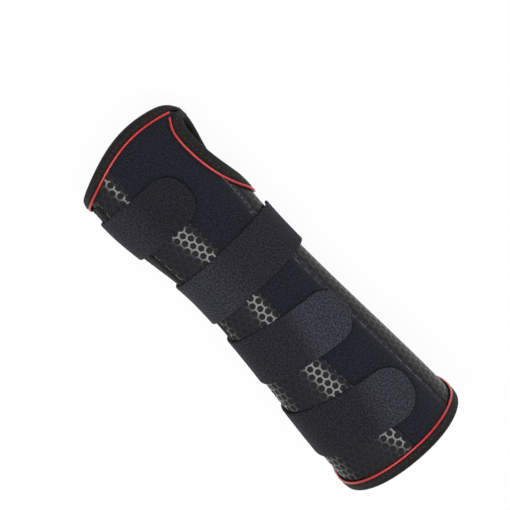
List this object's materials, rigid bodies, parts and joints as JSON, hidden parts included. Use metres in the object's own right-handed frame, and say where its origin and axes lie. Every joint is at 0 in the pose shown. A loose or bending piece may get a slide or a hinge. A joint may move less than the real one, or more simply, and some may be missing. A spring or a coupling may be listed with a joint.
{
  "type": "wrist splint",
  "caption": "Right-hand cloth wrist and forearm splint with a thumb hole, palm and back stays, and hook-and-loop straps closed over the palm side.",
  "frame": {"origin": "on the flat underside of the stay pocket on the back, below the wrist line", "axes": "+Y along the arm towards the fingers, +X towards the thumb, +Z out of the palm side; the splint lies on its back"},
  "size_m": [0.0963, 0.2802, 0.0768],
  "materials": {
    "lining_cloth": "soft knitted lining",
    "honeycomb_cloth": "black cloth with a glossy raised honeycomb print",
    "plush_cloth": "matte blue-black brushed loop pile",
    "tape_cloth": "ribbed woven edge tape, brownish black",
    "red_piping": "smooth red cord",
    "strap_loop": "brushed loop strap, charcoal black",
    "hook_plastic": "moulded hooks",
    "aluminium": "plain sheet",
    "stay_plastic": "plain moulded sheet"
  },
  "bodies": {
    "sleeve": {"lining": "lining_cloth", "palm_panel": "honeycomb_cloth", "plush_panel": "plush_cloth", "thumb_panel": "honeycomb_cloth", "back_panel": "honeycomb_cloth", "hand_tape": "tape_cloth", "forearm_tape": "tape_cloth", "thumb_tape": "tape_cloth", "palm_slit_tape": "tape_cloth", "back_slit_tape": "tape_cloth", "hand_piping": "red_piping", "back_piping": "red_piping", "forearm_piping": "red_piping", "thumb_piping": "red_piping", "gusset": "lining_cloth", "palm_stay": "aluminium", "back_pocket": "tape_cloth", "palm_strap_root": "strap_loop", "wrist_strap_root": "strap_loop", "mid_strap_root": "strap_loop", "forearm_strap_root": "strap_loop"},
    "palm_strap": {"palm_strap_flap": "strap_loop", "palm_strap_hook": "hook_plastic"},
    "wrist_strap": {"wrist_strap_flap": "strap_loop", "wrist_strap_hook": "hook_plastic"},
    "mid_strap": {"mid_strap_flap": "strap_loop", "mid_strap_hook": "hook_plastic"},
    "forearm_strap": {"forearm_strap_flap": "strap_loop", "forearm_strap_hook": "hook_plastic"},
    "back_stay": {"back_stay": "stay_plastic"}
  },
  "joints": [
    {"name": "palm_strap_open", "type": "hinge", "parent": "sleeve", "child": "palm_strap", "pos_m": [-0.04588, 0.063, 0.02624], "axis": [0.0753, -0.997, 0.0199], "range_deg": [0, 150]},
    {"name": "wrist_strap_open", "type": "hinge", "parent": "sleeve", "child": "wrist_strap", "pos_m": [-0.03151, 0, 0.04655], "axis": [0.0042, -0.9999, 0.0134], "range_deg": [0, 150]},
    {"name": "mid_strap_open", "type": "hinge", "parent": "sleeve", "child": "mid_strap", "pos_m": [-0.04143, -0.04896, 0.03033], "axis": [-0.0892, -0.9929, 0.079], "range_deg": [0, 150]},
    {"name": "forearm_strap_open", "type": "hinge", "parent": "sleeve", "child": "forearm_strap", "pos_m": [-0.04747, -0.1071, 0.03568], "axis": [-0.0981, -0.9914, 0.0869], "range_deg": [0, 150]},
    {"name": "back_stay_pull", "type": "slide", "parent": "sleeve", "child": "back_stay", "axis": [0, -1, 0], "range_m": [0, 0.19]}
  ]
}
